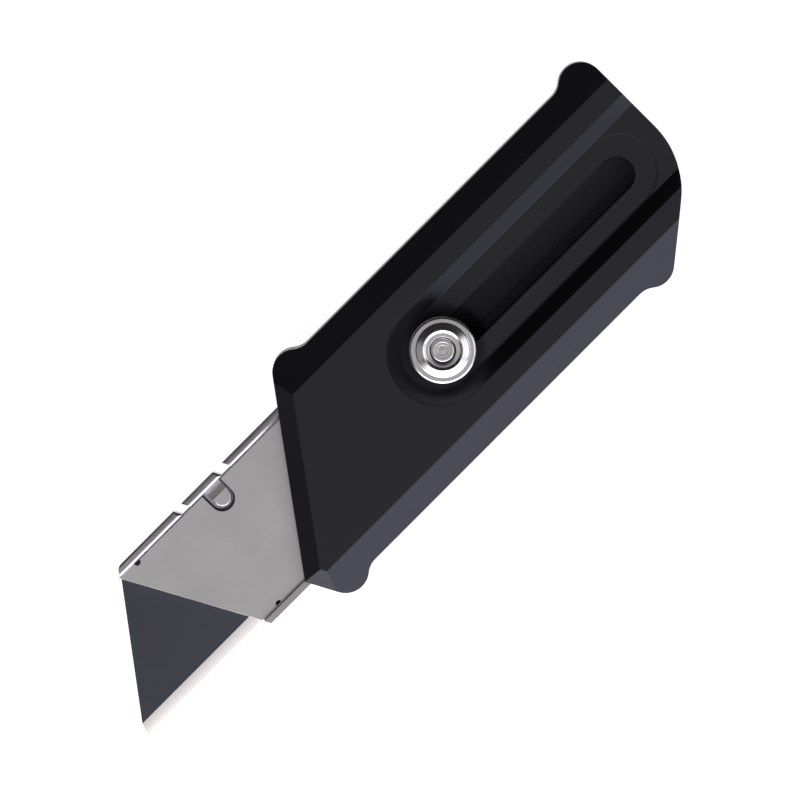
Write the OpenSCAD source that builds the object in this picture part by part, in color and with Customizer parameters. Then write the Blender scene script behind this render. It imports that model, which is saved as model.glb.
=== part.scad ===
// Slide-out utility knife. A flat two-part body holds a steel carrier that slides out of its
// mouth with a trapezoid blade, and a round thumb knob, pressed and pushed, moves the carrier.
// +X runs from the blade's tip to the tail, +Y from the cutting edge to the blade's back,
// and +Z out of the face with the knob. The knife is open and lies on its flat back at z = 0.

/* [Body] */
// Length over the blade's tip and the tail, with the knife open
overall_l = 114.8; // [114.4:0.1:115.6]
// Width between the two straight long edges
body_w = 29.2; // [29:0.1:29.6]
// Thickness of the body without the knob
body_t = 10; // [9.9:0.1:10.6]
// Thickness of the back cover
cover_t = 2.8; // [2.7:0.05:2.8]
// Radius of the four finger bumps and of the hollows beside them
bump_r = 3.3; // [3.2:0.1:3.4]
// How far the bumps stand out of the long edges
bump_rise = 1.5; // [1.4:0.1:1.6]
// Corner where the slanted nose meets the chin, along X
nose_x = -25.1; // [-25.6:0.1:-24.6]
// Corner where the slanted nose meets the chin, along Y
nose_y = -9.7; // [-9.9:0.1:-9.5]
// Slope of the nose against the long axis, in degrees
nose_angle = 53.8; // [53:0.2:55]
// Slope of the chin against the long axis, in degrees
chin_angle = 62.3; // [61:0.1:64]
// Centre of the bump at the slanted end of the tail, along X
tail_bump_x = 42.85; // [42.4:0.05:43.2]
// Slope of the tail's lower side, in degrees
tail_angle = 39.5; // [39:0.1:40]
// Radius where the tail's lower side turns up
tail_r = 13; // [12:0.5:14]

/* [Bevels] */
// Width of the bevels along the two long edges
side_bevel_w = 3.8; // [3.6:0.1:4]
// How far the long bevels fall from the face
side_bevel_drop = 1.95; // [1.7:0.05:2.1]
// Width of the bevels on the nose and the chin
nose_bevel_w = 2.5; // [2.3:0.1:2.7]
// How far the nose bevels fall from the face
nose_bevel_drop = 1.6; // [1.4:0.05:1.7]

/* [Thumb channel] */
// Centre of the channel's round end, along X
channel_x = 12.2; // [12:0.1:12.4]
// Half width of the channel at the face
channel_r = 7.7; // [7.5:0.1:7.8]
// Half width of the channel at its floor
floor_r = 5.65; // [5.6:0.05:5.7]
// Depth of the channel
channel_d = 1.8; // [1.7:0.05:1.8]
// Depth of the pocket below the channel's floor
pocket_d = 0.3; // [0.25:0.05:0.3]
// Centre of the pocket's round rear end, along X
pocket_end_x = 48.95; // [48.9:0.05:49.2]
// Half width of the slot
slot_r = 2.72; // [2.7:0.01:2.74]
// Travel of the knob and the carrier
travel = 35.6; // [35:0.2:35.6]

/* [Carrier] */
// Width over the two side lips
carrier_w = 21.9; // [21.7:0.1:21.9]
// Height of the side lips
lip_h = 3.1; // [3:0.05:3.1]
// Thickness of the side lips
lip_t = 1.25; // [1.2:0.05:1.3]
// Thickness of the tray under the blade
tray_t = 0.6; // [0.5:0.05:0.6]
// Width of the front plate
plate_w = 18.9; // [18.8:0.1:19]
// Thickness of the front plate
plate_t = 0.85; // [0.8:0.05:0.9]
// Front corner of the carrier at the blade's back, along X
carrier_x = -43.9; // [-44.1:0.1:-43.7]
// Slope of the carrier's front edge, in degrees
carrier_angle = 61.5; // [61:0.5:62]
// Rear end of the carrier, along X
carrier_end_x = 16.6; // [16.5:0.1:16.8]
// Centre of the latch window, along X
window_x = -25.2; // [-25.3:0.1:-25.1]
// Half width of the latch window
window_r = 1.88; // [1.85:0.01:1.9]

/* [Blade] */
// Length of the cutting edge side
blade_l = 53; // [52:0.5:61]
// Width from the cutting edge to the back
blade_w = 19; // [18.8:0.1:19]
// Thickness
blade_t = 0.6; // [0.55:0.05:0.6]
// Slope of the two ends, in degrees
blade_angle = 54.4; // [54:0.1:55]
// Width of the ground edge
grind_w = 1.75; // [1.5:0.05:2]

/* [Knob] */
// Outer radius of the knob
knob_r = 4.93; // [4.8:0.01:5]
// Highest point of the knob
knob_top = 11.5; // [11.4:0.1:11.6]
// How far the knob is pressed
press = 0.6; // [0.5:0.05:0.6]
// Turns of the coil spring
coil_turns = 3; // [2:1:3]

/* [Hidden] */
$fn = 96;
far = 200; // longer than the knife
over = 1; // how far the cutting shapes run past a surface
slip = 0.02; // gap round a fitted pin

// Body outline
rear_x = overall_l / 2;
tip_x = -overall_l / 2;
edge_y = body_w / 2;
bump_y = edge_y + bump_rise - bump_r;
nose_out = [-sin(nose_angle), cos(nose_angle)];
chin_out = [-sin(chin_angle), -cos(chin_angle)];
tail_out = [sin(tail_angle), -cos(tail_angle)];
nose_bump = [nose_x + (bump_y - nose_y) / tan(nose_angle) + bump_r / sin(nose_angle), bump_y];
chin_bump = [nose_x + (bump_y + nose_y) / tan(chin_angle) + bump_r / sin(chin_angle), -bump_y];
tail_bump = [rear_x - bump_r, bump_y];
low_bump = [tail_bump_x, -bump_y];
bumps = [nose_bump, chin_bump, tail_bump, low_bump];
hollow_dx = sqrt(pow(2 * bump_r, 2) - pow(edge_y + bump_r - bump_y, 2));
join_angle = acos(hollow_dx / (2 * bump_r));
tail_foot = low_bump + bump_r * tail_out;
tail_corner = [rear_x, tail_foot[1] + (rear_x - tail_foot[0]) * tan(tail_angle)];
tail_reach = tail_r * tan((90 - tail_angle) / 2);
side_slope = atan(side_bevel_drop / side_bevel_w);
nose_slope = atan(nose_bevel_drop / nose_bevel_w);

// Heights of the layers, from the back up
run_gap = 0.1;
tray_z = cover_t + run_gap;
blade_z = tray_z + tray_t;
plate_z = blade_z + blade_t + 0.05;
plate_top = plate_z + plate_t;
lip_top = tray_z + lip_h;
roof_z = lip_top + 0.3;
floor_z = body_t - channel_d;
pocket_z = floor_z - pocket_d;
pocket_r = floor_r - 0.05;

// Cavity and guide strips
wall_t = 2;
strip_t = 0.55;
strip_in = carrier_w / 2 + run_gap;
strip_out = strip_in + strip_t;
cavity_y = strip_out + 0.05;
cavity_end_x = rear_x - 2.5;
cavity_foot = tail_foot - wall_t * tail_out;
strip_seat = 0.05;
roof_leg_y = 8.7;
roof_leg_z = lip_top + 0.05;
upper_strip_x = [-6, cavity_end_x - 0.2];
lower_strip_x = [-20, 45.4];

// Fasteners
screw_hole_r = 1.1;
thread_r = 0.8;
shank_r = thread_r - slip;
head_r = 1.9;
head_sink = 0.2;
head_h = 1.1;
screw_z = 0.05;
hex_r = 0.75;
hex_d = 0.9;
screw_l = 5;
thread_top = 6.8;
dowel_r = 0.75;
dowel_low = 1.2;
dowel_top = 5;
dowel_gap = 0.1;
dowels = [[22, 13.1], [8, -13.1]];
rivet_r = 0.8;
rivet_head_r = 1.3;
rivet_head_t = 0.3;
rivets = [[4, 6.5], [4, -5.5], [15, 7.5], [10.5, -8]];

// Detent
detent_y = 5;
detent_x = 13;
detent_hole_r = 1.2;
leaf_w = 4;
leaf_t = 0.3;
leaf_z = 2.1;
leaf_x = detent_x - 1;
leaf_end_x = 45;
leaf_rivets = [40.5, 43.5];
leaf_rivet_r = 0.6;
leaf_rivet_z = 1;
leaf_head_r = 1.1;
leaf_head_t = 0.25;
seat_x = leaf_x - 1;
seat_gap = 0.1;
deep_seat_l = 24;
deep_seat_drop = 0.5;
detent_w = 2;
detent_top = cover_t + 0.05;

// Carrier
carrier_y = carrier_w / 2;
lip_in = carrier_y - lip_t;
plate_y = plate_w / 2;
carrier_top_y = 9.4;
carrier_foot_x = 11.1;
carrier_foot_y = -carrier_y + (carrier_end_x - carrier_foot_x) * tan(tail_angle);
relief_r = 0.5;
relief_top_x = -40.5;
relief_low_x = -30.2;
front_round_r = 1.2;
glide_x = -3;
glide_y = 8.2;
glide_l = 10;
glide_w = 1.6;
// Ends of the three stretches of the upper lip, at the lip's outer side
lip_lean = 0.65;
low_lip_lean = 0.75;
lip_1_end = -31.5;
lip_2_start = -29.9;
lip_2_end = -23.4;
lip_3_start = -21.5;
// Bevels along the lips: width and drop
lip_roll = [0.36, 0.19];
lip_crest = [0.32, 0.18];
lip_foot = 0.3;

// Blade
toe_l = 0.6;
edge_t = 0.03;
blade_lean = blade_w / tan(blade_angle);

// Latch
window_y = 7.25;
latch_x = window_x + 0.15;
latch_t = 0.75;
latch_room = 0.6;
foot_gap = 0.15;
pad_r = 1.5;
pad_y = 7.4;
pad_top = plate_top + 0.05;
pad_low = blade_z + 0.1;
pad_l = 0.65;
pad_rise = 0.5;
latch_axis_y = 10.5;
latch_axis_z = tray_z + 0.4;
root_r = 0.35;
notch_r = 1.7;
notch_bottom = pad_y - pad_r - 0.15;

// Knob and its stem
knob_x = 12.9;
bore_gap = 0.05;
pilot_r = 1;
pilot_low = tray_z + 0.05;
barrel_r = slot_r - 0.08;
barrel_top = pocket_z + press + 0.2;
spigot_r = 1.7;
spigot_top = 10.2;
thread_low = 7.5;
disc_hole_r = 1.6;
clip_groove_r = 0.8;
clip_r = 1.9;
clip_gap = 0.7;
ring_t = 0.2;
brake_r = 4.2;
brake_top = roof_z - 0.05;
disc_top = brake_top - ring_t;
disc_low = disc_top - 0.4;
clip_t = 0.3;
clip_low = disc_low - clip_t - 0.05;
spring_hole_r = 2.4;
wire_r = 0.16;
coil_r = 1.7;
flange_t = 0.6;
flange_low = barrel_top;
// The cap's rings, from the rim inwards: radii, and depths below the highest point
rim_w = 0.38;
rim_d = 0.12;
band_d = 0.4;
step_r = 3.95;
step_w = 0.12;
step_rise = 0.1;
cone_r = 2.95;
crest_r = 2.88;
dish_r = 2.58;
dish_d = 0.17;
well_r = 1.95;
well_d = 0.24;
head_w = 1.76;
head_bevel = [0.2, 0.16];
head_d = 0.26;
nub_d = 0.2;
groove_y = 1.5;
groove_z = pilot_low - press - 0.15;

// ---------- shared shapes ----------

function arc(centre, r, a1, a2) =
    let (steps = ceil(abs(a2 - a1) / 5))
    [for (k = [0 : steps]) centre + r * dir(a1 + (a2 - a1) * k / steps)];

function dir(a) = [cos(a), sin(a)];

// Centre of the round hollow beside a bump, towards the tail (1) or the nose (-1)
function hollow(bump, side) = [bump[0] + side * hollow_dx, sign(bump[1]) * (edge_y + bump_r)];

module body_outline() {
    polygon(concat(
        [[nose_x, nose_y]],
        arc(nose_bump, bump_r, 90 + nose_angle, join_angle),
        arc(hollow(nose_bump, 1), bump_r, 180 + join_angle, 270),
        arc(hollow(tail_bump, -1), bump_r, 270, 360 - join_angle),
        arc(tail_bump, bump_r, 180 - join_angle, 0),
        arc(tail_corner + [-tail_r, tail_reach], tail_r, 0, tail_angle - 90),
        arc(low_bump, bump_r, tail_angle - 90, join_angle - 180),
        arc(hollow(low_bump, -1), bump_r, join_angle, 90),
        arc(hollow(chin_bump, 1), bump_r, 90, 180 - join_angle),
        arc(chin_bump, bump_r, -join_angle, -90 - chin_angle)
    ));
}

// Everything above a plane that falls away from the face beyond a line
module bevel_cut(point, turn, slope) {
    translate([point[0], point[1], body_t])
        rotate([0, 0, turn])
            rotate([-slope, 0, 0])
                translate([-far / 2, 0, 0])
                    cube(far);
}

module face_bevels() {
    nose_corner = [nose_x, nose_y];
    bevel_cut([0, edge_y - side_bevel_w], 0, side_slope);
    bevel_cut([0, -edge_y + side_bevel_w], 180, side_slope);
    bevel_cut(nose_corner - nose_bevel_w * nose_out, nose_angle, nose_slope);
    bevel_cut(nose_corner - nose_bevel_w * chin_out, 180 - chin_angle, nose_slope);
}

module stadium(x1, x2, r) {
    translate([x1, -r]) square([x2 - x1, 2 * r]);
    translate([x1, 0]) circle(r = r);
    translate([x2, 0]) circle(r = r);
}

// A section in the Y-Z plane, drawn out along X from x1 to x2
module along_x(x1, x2) {
    translate([x1, 0, 0]) rotate([90, 0, 90]) linear_extrude(x2 - x1) children();
}

// ---------- body ----------

module cavity() {
    translate([0, 0, cover_t - over])
        linear_extrude(roof_z - cover_t + over)
            polygon([
                [tip_x, -cavity_y],
                [cavity_foot[0] - (cavity_foot[1] + cavity_y) / tan(tail_angle), -cavity_y],
                [cavity_end_x, cavity_foot[1] + (cavity_end_x - cavity_foot[0]) * tan(tail_angle)],
                [cavity_end_x, cavity_y],
                [tip_x, cavity_y]
            ]);
}

// Half section of the channel: a flat floor and a wall that leans out past the face
module channel_section() {
    lean = (channel_r - floor_r) / channel_d;
    polygon([
        [0, floor_z],
        [floor_r, floor_z],
        [channel_r + lean * over, body_t + over],
        [0, body_t + over]
    ]);
}

module thumb_channel() {
    translate([channel_x, 0, 0])
        rotate([0, 0, 90])
            rotate_extrude(angle = 180) channel_section();
    along_x(channel_x, rear_x + over) channel_section();
    along_x(channel_x, rear_x + over) mirror([1, 0, 0]) channel_section();
    translate([0, 0, pocket_z])
        linear_extrude(over) stadium(channel_x, pocket_end_x, pocket_r);
    translate([0, 0, roof_z - over])
        linear_extrude(pocket_z - roof_z + 2 * over) stadium(knob_x, knob_x + travel, slot_r);
}

module front_shell() {
    color([0.16, 0.16, 0.18])
        difference() {
            translate([0, 0, cover_t]) linear_extrude(body_t - cover_t) body_outline();
            face_bevels();
            cavity();
            thumb_channel();
            for (bump = bumps)
                translate([bump[0], bump[1], cover_t - over])
                    cylinder(r = thread_r, h = thread_top - cover_t + over);
            for (d = dowels)
                translate([d[0], d[1], cover_t - over])
                    cylinder(r = dowel_r, h = dowel_top - cover_t + over);
        }
}

module back_cover() {
    color([0.14, 0.14, 0.16])
        difference() {
            linear_extrude(cover_t) body_outline();
            for (bump = bumps)
                translate([bump[0], bump[1], 0]) {
                    translate([0, 0, -over]) cylinder(r = screw_hole_r, h = cover_t + 2 * over);
                    translate([0, 0, -over]) cylinder(r = head_r + seat_gap, h = over + head_sink);
                    translate([0, 0, head_sink])
                        cylinder(r1 = head_r + seat_gap, r2 = screw_hole_r, h = head_h);
                }
            for (d = dowels) translate([d[0], d[1], dowel_low]) cylinder(r = dowel_r, h = cover_t);
            // Groove for the stem's foot
            translate([0, 0, groove_z])
                linear_extrude(cover_t) stadium(knob_x, knob_x + travel, groove_y);
            // Seat of the leaf spring, with room to bend under its free end
            translate([seat_x, detent_y - leaf_w / 2 - seat_gap, leaf_z])
                cube([leaf_end_x - seat_x + 2 * seat_gap, leaf_w + 2 * seat_gap, cover_t]);
            translate([seat_x, detent_y - leaf_w / 2 - seat_gap, leaf_z - deep_seat_drop])
                cube([deep_seat_l, leaf_w + 2 * seat_gap, cover_t]);
            for (x = leaf_rivets)
                translate([x, detent_y, leaf_rivet_z]) cylinder(r = leaf_rivet_r, h = cover_t);
        }
}

module cover_screw() {
    difference() {
        union() {
            cylinder(r = head_r, h = head_sink);
            translate([0, 0, head_sink]) cylinder(r1 = head_r, r2 = shank_r, h = head_h);
            translate([0, 0, head_sink]) cylinder(r = shank_r, h = screw_l);
        }
        translate([0, 0, -over]) cylinder(r = hex_r, h = over + hex_d, $fn = 6);
    }
}

module cover_screws() {
    color([0.3, 0.3, 0.32])
        for (bump = bumps) translate([bump[0], bump[1], screw_z]) cover_screw();
}

module dowel_pins() {
    color([0.7, 0.7, 0.72])
        for (d = dowels)
            translate([d[0], d[1], dowel_low + dowel_gap])
                cylinder(r = dowel_r - slip, h = dowel_top - dowel_low - 2 * dowel_gap);
}

module guide_section() {
    polygon([
        [strip_in, cover_t + strip_seat],
        [strip_out, cover_t + strip_seat],
        [strip_out, roof_z - strip_seat],
        [roof_leg_y, roof_z - strip_seat],
        [roof_leg_y, roof_leg_z],
        [strip_in, roof_leg_z]
    ]);
}

module upper_guide_strip() {
    color([0.12, 0.12, 0.12])
        difference() {
            along_x(upper_strip_x[0], upper_strip_x[1]) guide_section();
            // Room for the latch when the knife is closed
            translate([lip_2_start + travel - latch_room, 0, latch_axis_z])
                cube([lip_2_end - lip_2_start + lip_lean + 2 * latch_room, far, far]);
        }
}

module lower_guide_strip() {
    color([0.12, 0.12, 0.12])
        mirror([0, 1, 0]) along_x(lower_strip_x[0], lower_strip_x[1]) guide_section();
}

module detent_spring() {
    color([0.75, 0.75, 0.75])
        difference() {
            union() {
                translate([leaf_x, detent_y - leaf_w / 2, leaf_z])
                    cube([leaf_end_x - leaf_x, leaf_w, leaf_t]);
                // Round bump that drops into the tray's holes
                intersection() {
                    translate([detent_x, detent_y - detent_w / 2, detent_top - detent_hole_r])
                        rotate([-90, 0, 0]) cylinder(r = detent_hole_r, h = detent_w);
                    translate([leaf_x, 0, leaf_z]) cube([leaf_end_x - leaf_x, far, far]);
                }
            }
            for (x = leaf_rivets) translate([x, detent_y, 0]) cylinder(r = leaf_rivet_r + slip, h = far);
        }
}

module detent_rivets() {
    color([0.6, 0.6, 0.6])
        for (x = leaf_rivets)
            translate([x, detent_y, leaf_rivet_z + slip]) {
                cylinder(r = leaf_rivet_r - slip, h = leaf_z + leaf_t - leaf_rivet_z - slip);
                translate([0, 0, leaf_z + leaf_t - leaf_rivet_z - slip])
                    cylinder(r = leaf_head_r, h = leaf_head_t);
            }
}

// ---------- carrier ----------

function front_x(y) = carrier_x + (carrier_top_y - y) / tan(carrier_angle);

// Outline behind the slanted front edge, ahead of the cut rear corner
module carrier_outline(half) {
    polygon([
        [front_x(half), half],
        [front_x(-half), -half],
        [carrier_foot_x + (carrier_y - half) / tan(tail_angle), -half],
        [carrier_end_x, carrier_foot_y],
        [carrier_end_x, half]
    ]);
}

module lip_section() {
    polygon([
        [lip_in, tray_z],
        [carrier_y - lip_foot, tray_z],
        [carrier_y, tray_z + lip_foot],
        [carrier_y, lip_top - lip_roll[1]],
        [carrier_y - lip_roll[0], lip_top],
        [lip_in + lip_crest[0], lip_top],
        [lip_in, lip_top - lip_crest[1]]
    ]);
}

// A stretch of the upper lip with ends that lean like the front edge
module upper_lip(x1, x2) {
    intersection() {
        along_x(x1 - over, x2 + over) lip_section();
        translate([0, 0, tray_z - over])
            linear_extrude(lip_h + 2 * over)
                polygon([
                    [x1, carrier_y],
                    [x1 + lip_lean, lip_in],
                    [x1 + lip_lean, lip_in - over],
                    [x2 + lip_lean, lip_in - over],
                    [x2 + lip_lean, lip_in],
                    [x2, carrier_y]
                ]);
    }
}

// The foremost stretch of the upper lip, with its round front corner
module front_lip() {
    corner_x = front_x(carrier_y) + front_round_r * 2;
    intersection() {
        along_x(corner_x - 2 * front_round_r, lip_1_end + over) lip_section();
        translate([0, 0, tray_z - over])
            linear_extrude(lip_h + 2 * over) {
                translate([corner_x, carrier_y - front_round_r]) circle(r = front_round_r);
                polygon([
                    [corner_x, carrier_y],
                    [lip_1_end, carrier_y],
                    [lip_1_end + lip_lean, lip_in],
                    [corner_x, lip_in]
                ]);
            }
    }
}

module carrier_tray() {
    color([0.62, 0.61, 0.61])
        difference() {
            union() {
                translate([0, 0, tray_z]) linear_extrude(tray_t) carrier_outline(lip_in);
                front_lip();
                upper_lip(lip_3_start, carrier_end_x - lip_lean);
                intersection() {
                    mirror([0, 1, 0]) along_x(front_x(-lip_in) - over, carrier_foot_x) lip_section();
                    translate([0, 0, tray_z - over])
                        linear_extrude(lip_h + 2 * over)
                            polygon([
                                [front_x(-lip_in), -lip_in],
                                [front_x(-lip_in) + low_lip_lean, -carrier_y],
                                [carrier_end_x, -carrier_y],
                                [carrier_end_x, -lip_in]
                            ]);
                }
            }
            translate([knob_x, 0, 0]) cylinder(r = pilot_r + bore_gap, h = far);
            for (x = [detent_x, detent_x - travel])
                translate([x, detent_y, 0]) cylinder(r = detent_hole_r, h = far);
            for (p = rivets)
                translate([p[0], p[1], tray_z - over]) {
                    cylinder(r = rivet_r, h = far);
                    cylinder(r = rivet_head_r, h = over + rivet_head_t);
                }
            // Room for the latch's foot
            translate([lip_2_start - foot_gap, lip_in - foot_gap, tray_z - over])
                cube([lip_2_end + lip_lean - lip_2_start + 2 * foot_gap, lip_t + over, far]);
        }
}

module carrier_plate() {
    color([0.6, 0.59, 0.6])
        translate([0, 0, plate_z])
            linear_extrude(plate_t)
                difference() {
                    union() {
                        carrier_outline(plate_y);
                        // Ear that joins the plate to the front of the lip
                        polygon([
                            [front_x(lip_in), lip_in],
                            [front_x(plate_y - over), plate_y - over],
                            [relief_top_x, plate_y - over],
                            [relief_top_x, lip_in]
                        ]);
                    }
                    translate([relief_top_x, plate_y]) circle(r = relief_r);
                    translate([relief_low_x, -plate_y]) circle(r = relief_r);
                    translate([window_x, window_y]) circle(r = window_r);
                    translate([window_x - window_r, window_y]) square([2 * window_r, plate_y]);
                    translate([knob_x, 0]) circle(r = spring_hole_r);
                    for (p = rivets) translate(p) circle(r = rivet_r);
                }
}

module carrier_rivets() {
    color([0.7, 0.7, 0.7])
        for (p = rivets)
            translate([p[0], p[1], tray_z]) {
                cylinder(r = rivet_head_r, h = rivet_head_t);
                cylinder(r = rivet_r, h = plate_top - tray_z);
                translate([0, 0, plate_top - tray_z]) cylinder(r = rivet_head_r, h = rivet_head_t);
            }
}

module rear_spacer() {
    // The spacer's front follows the blade's rear end
    front = tip_x + blade_l + run_gap;
    color([0.5, 0.5, 0.52])
        translate([0, 0, blade_z])
            linear_extrude(plate_z - blade_z)
                difference() {
                    polygon([
                        [front, -plate_y],
                        [front - toe_l, -blade_w / 2 + grind_w],
                        [front - blade_lean, plate_y],
                        [carrier_end_x, plate_y],
                        [carrier_end_x, carrier_foot_y],
                        [carrier_foot_x + (carrier_y - plate_y) / tan(tail_angle), -plate_y]
                    ]);
                    translate([knob_x, 0]) circle(r = spring_hole_r);
                    for (p = rivets) translate(p) circle(r = rivet_r);
                }
}

module tray_glides() {
    color([0.9, 0.9, 0.88])
        for (y = [glide_y, -glide_y])
            translate([glide_x, y - glide_w / 2, cover_t + slip])
                cube([glide_l, glide_w, run_gap - slip]);
}

// ---------- blade ----------

module blade() {
    half = blade_w / 2;
    mid_x = tip_x + blade_l / 2;
    mid_z = blade_z + blade_t / 2;
    pitch = abs(window_x - mid_x);
    color([0.26, 0.26, 0.29])
        difference() {
            intersection() {
                along_x(tip_x, tip_x + blade_l)
                    polygon([
                        [half, blade_z],
                        [half, blade_z + blade_t],
                        [-half + grind_w, blade_z + blade_t],
                        [-half, mid_z + edge_t / 2],
                        [-half, mid_z - edge_t / 2],
                        [-half + grind_w, blade_z]
                    ]);
                translate([0, 0, blade_z - over])
                    linear_extrude(blade_t + 2 * over)
                        polygon([
                            [tip_x, -half],
                            [tip_x + toe_l, -half + grind_w],
                            [tip_x + blade_lean, half],
                            [tip_x + blade_l - blade_lean, half],
                            [tip_x + blade_l - toe_l, -half + grind_w],
                            [tip_x + blade_l, -half]
                        ]);
            }
            for (x = [mid_x - pitch, mid_x + pitch])
                translate([x, notch_bottom + notch_r, blade_z - over]) {
                    cylinder(r = notch_r, h = blade_t + 2 * over);
                    translate([-notch_r, 0, 0]) cube([2 * notch_r, blade_w, blade_t + 2 * over]);
                }
        }
}

// ---------- latch ----------

module blade_latch() {
    low = pad_top - pad_rise;
    color([0.64, 0.63, 0.63]) {
        difference() {
            upper_lip(lip_2_start, lip_2_end);
            translate([lip_2_start - over, 0, 0])
                cube([lip_2_end + lip_lean - lip_2_start + 2 * over, far, latch_axis_z]);
        }
        // Round root on the line about which the latch bends
        translate([lip_2_start + lip_lean, latch_axis_y, latch_axis_z])
            rotate([0, 90, 0]) cylinder(r = root_r, h = lip_2_end - lip_2_start - lip_lean);
        // Strip that rises from the lip's side to the pad
        along_x(latch_x - pad_r, latch_x + pad_r)
            polygon([
                [lip_in + lip_foot, low],
                [pad_y + pad_l, pad_top],
                [pad_y + pad_l, pad_top - latch_t],
                [lip_in + lip_foot, low - latch_t]
            ]);
        translate([latch_x, pad_y, pad_low])
            linear_extrude(pad_top - pad_low) {
                circle(r = pad_r);
                translate([-pad_r, 0]) square([2 * pad_r, pad_l]);
            }
    }
}

// ---------- knob ----------

// A turned piece about the knob's axis, from its half section
module turned() {
    translate([knob_x, 0, 0]) rotate_extrude() children();
}

module knob_cap() {
    cap_low = flange_low + flange_t;
    band_z = knob_top - band_d;
    bore_r = spigot_r + slip;
    color([0.66, 0.65, 0.65])
        turned()
            polygon([
                [bore_r, cap_low],
                [knob_r - rim_w, cap_low],
                [knob_r, cap_low + rim_w],
                [knob_r, band_z - rim_w],
                [knob_r - rim_d, band_z - rim_d],
                [knob_r - rim_w, band_z],
                [step_r, band_z],
                [step_r - step_w, band_z + step_rise],
                [cone_r, knob_top],
                [crest_r, knob_top],
                [dish_r, knob_top - dish_d],
                [well_r, knob_top - well_d],
                [well_r, spigot_top],
                [bore_r, spigot_top]
            ]);
}

module knob_screw() {
    head_low = spigot_top + slip;
    thread_end = thread_low + 0.1;
    head_top = knob_top - head_d;
    color([0.6, 0.59, 0.6])
        turned()
            polygon([
                [0, thread_end],
                [shank_r, thread_end],
                [shank_r, head_low],
                [head_w, head_low],
                [head_w, head_top - head_bevel[1]],
                [head_w - head_bevel[0], head_top],
                [rim_w, head_top],
                [0, knob_top - nub_d]
            ]);
}

module knob_flange() {
    color([0.62, 0.61, 0.61])
        turned()
            polygon([
                [spigot_r + slip, flange_low],
                [knob_r - rim_d, flange_low],
                [knob_r, flange_low + rim_d],
                [knob_r, flange_low + flange_t - rim_d],
                [knob_r - rim_d, flange_low + flange_t],
                [spigot_r + slip, flange_low + flange_t]
            ]);
}

module knob_stem() {
    color([0.55, 0.55, 0.56])
        turned()
            polygon([
                [0, pilot_low],
                [pilot_r, pilot_low],
                [pilot_r, clip_low - slip],
                [clip_groove_r, clip_low - slip],
                [clip_groove_r, clip_low + clip_t + slip],
                [pilot_r, clip_low + clip_t + slip],
                [pilot_r, disc_low],
                [disc_hole_r, disc_low],
                [disc_hole_r, disc_top],
                [barrel_r, disc_top],
                [barrel_r, barrel_top],
                [spigot_r, barrel_top],
                [spigot_r, spigot_top],
                [thread_r, spigot_top],
                [thread_r, thread_low],
                [0, thread_low]
            ]);
}

module brake_disc() {
    color([0.5, 0.5, 0.52])
        turned()
            polygon([
                [disc_hole_r + slip, disc_low],
                [brake_r - rim_d, disc_low],
                [brake_r, disc_low + rim_d],
                [brake_r, disc_top],
                [disc_hole_r + slip, disc_top]
            ]);
}

module brake_ring() {
    color([0.2, 0.18, 0.16])
        translate([0, 0, disc_top])
            turned()
                translate([barrel_r + bore_gap, 0]) square([brake_r - barrel_r - bore_gap, ring_t]);
}

module stem_clip() {
    color([0.45, 0.45, 0.47])
        translate([knob_x, 0, clip_low])
            linear_extrude(clip_t)
                difference() {
                    circle(r = clip_r);
                    circle(r = clip_groove_r + bore_gap);
                    translate([0, -clip_gap]) square([clip_r + over, 2 * clip_gap]);
                }
}

// Points of one coil wire: a ring of sides round every step of the helix
function coil_ring(a, z, sides) = [
    for (k = [0 : sides - 1])
        let (rr = coil_r + wire_r * cos(k * 360 / sides))
        [rr * cos(a), rr * sin(a), z + wire_r * sin(k * 360 / sides)]
];

module lock_spring() {
    sides = 8;
    per_turn = 20;
    steps = per_turn * coil_turns;
    low = blade_z + wire_r;
    rise = clip_low - blade_z - 2 * wire_r;
    rings = [
        for (s = [0 : steps])
            each coil_ring(s * 360 / per_turn, low + rise * s / steps, sides)
    ];
    walls = [
        for (s = [0 : steps - 1], k = [0 : sides - 1])
            let (n = (k + 1) % sides)
            [s * sides + k, s * sides + n, (s + 1) * sides + n, (s + 1) * sides + k]
    ];
    color([0.7, 0.7, 0.7])
        translate([knob_x, 0, 0])
            polyhedron(
                points = rings,
                faces = concat(
                    walls,
                    [[for (k = [sides - 1 : -1 : 0]) k]],
                    [[for (k = [0 : sides - 1]) steps * sides + k]]
                )
            );
}

front_shell();
back_cover();
cover_screws();
dowel_pins();
upper_guide_strip();
lower_guide_strip();
detent_spring();
detent_rivets();
carrier_tray();
carrier_plate();
carrier_rivets();
rear_spacer();
tray_glides();
blade();
blade_latch();
knob_cap();
knob_screw();
knob_flange();
knob_stem();
brake_disc();
brake_ring();
stem_clip();
lock_spring();
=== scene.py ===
from math import acos, asin, atan, ceil, cos, degrees, pi, radians, sin, sqrt, tan

import bmesh
import bpy
from mathutils import Matrix, Vector


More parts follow.
